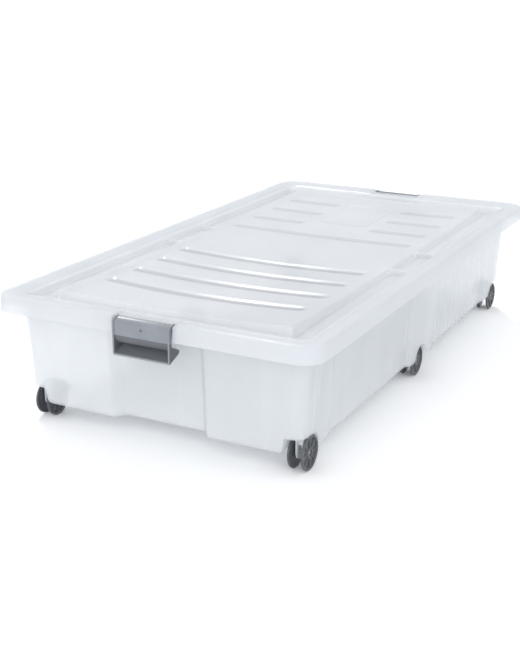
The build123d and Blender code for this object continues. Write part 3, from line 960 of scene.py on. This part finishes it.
def build_clip(end, name):
    """Two side walls, the panel between them, the finger shelf and the pivot pins, joined."""
    side, panel, shelf = clip_parts()
    solids = []
    for outline, low, high in (
        (side, -CLIP_HALF, -CLIP_HALF + CLIP_WALL),
        (side, CLIP_HALF - CLIP_WALL, CLIP_HALF),
        (panel, -CLIP_HALF + 0.8, CLIP_HALF - 0.8),
        (shelf, -CLIP_HALF + 0.8, CLIP_HALF - 0.8),
    ):
        work = bmesh.new()
        plate(work, outline, low, high)
        solids.append(as_object(f"{name}_part", work))
    for low, high in (
        (-CLIP_HALF - PIN_REACH, -CLIP_HALF + 1.0),
        (CLIP_HALF - 1.0, CLIP_HALF + PIN_REACH),
    ):
        work = bmesh.new()
        plate(work, arc_points((-PIVOT_IN, PIVOT_Z), PIN_RADIUS, 0, 345, 23), low, high)
        solids.append(as_object(f"{name}_part", work))
    clip = solids[0]
    for other in solids[1:]:
        join = clip.modifiers.new("join", "BOOLEAN")
        join.operation = "UNION"
        join.solver = "EXACT"
        join.object = other
    dimple = bmesh.new()
    rim = [(DIMPLE_RADIUS * cos(a), DIMPLE_RADIUS * sin(a)) for a in spread(0, 2 * pi, 20)[:-1]]
    rings = [verts_at(dimple, [(x, out, DIMPLE_Z + z) for x, z in rim]) for out in (0.5, 6.0)]
    bridge(dimple, rings)
    cap(dimple, rings)
    pit = as_object(f"{name}_pit", dimple)
    cut = clip.modifiers.new("cut", "BOOLEAN")
    cut.operation = "DIFFERENCE"
    cut.solver = "EXACT"
    cut.object = pit
    soft = clip.modifiers.new("edges", "BEVEL")
    soft.width = 0.45 * MM
    soft.segments = 3
    soft.limit_method = "ANGLE"
    soft.angle_limit = radians(38)
    soft.use_clamp_overlap = True
    bpy.context.view_layer.update()
    graph = bpy.context.evaluated_depsgraph_get()
    mesh = bpy.data.meshes.new_from_object(clip.evaluated_get(graph))
    mesh.transform(Matrix.Translation((0, LID_HALF_Y * MM, 0)))
    if end < 0:
        mesh.transform(Matrix.Rotation(pi, 4, "Z"))
    for part in solids + [pit]:
        bpy.data.objects.remove(part)
    mesh.name = name
    return finished(new_object(name, mesh), 30.0)


# ---------------------------------------------------------------- wheels
DISC_FACE, SET_WIDTH = 221.6, 23.6
AXLE_RADIUS, AXLE_INSET = 3.0, 1.45
SPOKES = 8


def spoke_angles(radius):
    """Angles round the disc at a radius, so that grid lines follow the edges of the spokes."""
    half_sector = pi / SPOKES
    offsets = [0.0] + [min(w / radius, half_sector * 0.5) for w in (0.55, 1.0, 1.5)]
    offsets += [offsets[-1] + (half_sector - offsets[-1]) * share for share in (0.35, 0.7)]
    half = offsets + [half_sector]
    one = [-a for a in half[:0:-1]][1:] + half
    return [2 * half_sector * k + a for k in range(SPOKES) for a in one]


def pocket(radius, index, per_spoke):
    """Depth of the pockets between the spokes at a ring and an angular step."""
    centre = per_spoke // 2 - 1
    step = abs(index % per_spoke - centre)
    across = (0.0, 0.0, 0.12, 1.0, 1.0, 1.0, 1.0)[min(step, 6)]
    along = smooth((radius - 8.0) / 0.9) * smooth((21.7 - radius) / 0.9)
    return 2.0 * across * along


def disc_rings():
    """(radius, stand-off from the face) from the bore out over the spoked face and round the rim."""
    face = [(3.05, 1.6), (4.1, 1.5), (4.5, 1.2), (4.6, 0.5), (5.0, 0.1), (6.2, 0.0), (7.4, 0.1)]
    face += [(8.0, 0.4), (8.5, 0.5), (8.9, 0.5), (12.0, 0.5), (16.0, 0.5), (20.0, 0.5), (20.8, 0.5)]
    face += [(21.2, 0.4), (21.7, 0.2), (22.3, 0.0), (23.8, 0.0)]
    rim = [(24.6, 0.2), (25.15, 0.6), (25.38, 1.1), (25.4, 1.8)]
    rim += [(25.38, 2.5), (25.15, 3.0), (24.6, 3.4)]
    back = [(23.6, 3.6), (16.0, 3.6), (8.6, 3.6), (7.4, 3.8), (7.0, 4.2), (6.9, 5.1), (6.6, 5.5)]
    back += [(4.5, 5.55), (3.4, 5.55), (3.05, 5.3)]
    return face + rim + back


def build_disc(name, face_x, outward, row):
    """One spoked disc, turned through its rings, with its outer face at face_x."""
    work = bmesh.new()
    loops = []
    for radius, stand in disc_rings():
        angles = spoke_angles(max(radius, 5.0))
        per_spoke = len(angles) // SPOKES
        loop = []
        for index, angle in enumerate(angles):
            depth = stand
            if stand <= 0.6 and radius < 22:
                depth += pocket(radius, index, per_spoke)
            x = face_x - outward * depth
            loop.append((x, row + radius * cos(angle), WHEEL_RADIUS + radius * sin(angle)))
        loops.append(verts_at(work, loop))
    bridge(work, loops + [loops[0]])
    return finished(as_object(name, work), 40.0)


def build_axle(name, side, row):
    """The pin with a small chamfer at each end."""
    start, end = DISC_FACE - SET_WIDTH + AXLE_INSET, DISC_FACE - AXLE_INSET
    stations = [(start, 2.2), (start + 0.6, 2.85), (start + 1.0, AXLE_RADIUS)]
    stations += [(x, AXLE_RADIUS) for x in spread(start + 4.0, end - 4.0, 4)]
    stations += [(end - 1.0, AXLE_RADIUS), (end - 0.6, 2.85), (end, 2.2)]
    loops = []
    for x, radius in stations:
        ring = []
        for a in spread(0, 2 * pi, 32)[:-1]:
            ring.append((side * x, row + radius * cos(a), WHEEL_RADIUS + radius * sin(a)))
        loops.append(ring)
    return finished(skin(name, loops), 40.0)


# ---------------------------------------------------------------- assembly
dress(build_tub(), tub_plastic, "tub", "tub_plastic", "tub")
dress(build_floor_ribs(), bracket_plastic, "tub", "tub_plastic")
dress(build_brackets(), bracket_plastic, "tub", "tub_plastic")
dress(build_lid(), lid_plastic, "lid", "lid_plastic", "lid")
for end, place in ((-1, "front"), (1, "rear")):
    clip = build_clip(end, f"clip_{place}_shell")
    dress(clip, clip_plastic, f"clip_{place}", "clip_plastic", f"clip_{place}")
for row, row_name in zip(WHEEL_ROWS, ROW_NAMES):
    for side, hand in ((-1, "left"), (1, "right")):
        place = f"{row_name}_{hand}"
        body = f"wheel_set_{place}"
        outer = build_disc(f"disc_outer_{place}", side * DISC_FACE, side, row)
        dress(outer, wheel_plastic, body, "wheel_plastic", f"wheel_outer_{place}")
        inner = build_disc(f"disc_inner_{place}", side * (DISC_FACE - SET_WIDTH), -side, row)
        dress(inner, wheel_plastic, body, "wheel_plastic", f"wheel_inner_{place}")
        axle = build_axle(f"pin_{place}", side, row)
        dress(axle, axle_steel, body, "axle_steel", f"axle_{place}")


# ---------------------------------------------------------------- floor, light and camera
# metres, degrees and the direction each source stands in
FLOOR_REACH = 30.0
SKY_STRENGTH = 1.08
KEY_SUN = (1.05, 7, (-0.42, 0.48, 0.77))
FILL_SUN = (1.70, 80, (0.38, -0.88, 0.30))
CAMERA_PLACE, CAMERA_YAW, CAMERA_PITCH, LENS = (0.8199, -1.6924, 0.6781), 27.753, 18.431, 63.70


def build_floor():
    """A plain pale floor far wider than any view of the box."""
    work = bmesh.new()
    steps = spread(-FLOOR_REACH, FLOOR_REACH, 12)
    bridge(work, [[work.verts.new((x, y, 0.0)) for x in steps] for y in steps], closed=False)
    floor = as_object("floor", work)
    material, nodes, links = shader_nodes("studio_floor")
    surface = nodes.new("ShaderNodeBsdfPrincipled")
    surface.inputs["Roughness"].default_value = 0.9
    surface.inputs["Specular IOR Level"].default_value = 0.1
    cloud = noise(nodes, links, 1.2, 2.0)
    links.new(
        ramp(nodes, links, cloud, 0.3, 0.7, (0.90, 0.905, 0.91, 1), (0.92, 0.925, 0.93, 1)),
        surface.inputs["Base Color"],
    )
    output = nodes.new("ShaderNodeOutputMaterial")
    links.new(surface.outputs[0], output.inputs["Surface"])
    floor.data.materials.append(material)


def sun(name, energy, spread_degrees, towards):
    """A distant source with soft shadows, standing in the direction towards."""
    light = bpy.data.lights.new(name, "SUN")
    light.energy = energy
    light.angle = radians(spread_degrees)
    lamp = bpy.data.objects.new(name, light)
    bpy.context.scene.collection.objects.link(lamp)
    lamp.rotation_euler = Vector(towards).to_track_quat("Z", "Y").to_euler()


def build_studio():
    """An even white surround, a soft key from above and behind, and a broad fill from the front."""
    world = bpy.data.worlds.new("studio")
    bpy.context.scene.world = world
    world.use_nodes = True
    sky = world.node_tree.nodes["Background"]
    sky.inputs["Color"].default_value = (0.985, 0.99, 1.0, 1.0)
    sky.inputs["Strength"].default_value = SKY_STRENGTH
    sun("key", *KEY_SUN)
    sun("fill", *FILL_SUN)


def build_camera():
    """The photo's view: its place, turn, tilt and lens were solved from the box's own corners."""
    data = bpy.data.cameras.new("camera")
    data.sensor_width = 36.0
    data.lens = LENS
    data.clip_end = 100.0
    camera = bpy.data.objects.new("camera", data)
    bpy.context.scene.collection.objects.link(camera)
    camera.location = CAMERA_PLACE
    camera.rotation_euler = (pi / 2 - radians(CAMERA_PITCH), 0.0, radians(CAMERA_YAW))
    bpy.context.scene.camera = camera


build_floor()
build_studio()
build_camera()
scene = bpy.context.scene
scene.view_settings.view_transform = "Standard"
scene.cycles.transparent_max_bounces = 40
scene.cycles.max_bounces = 10
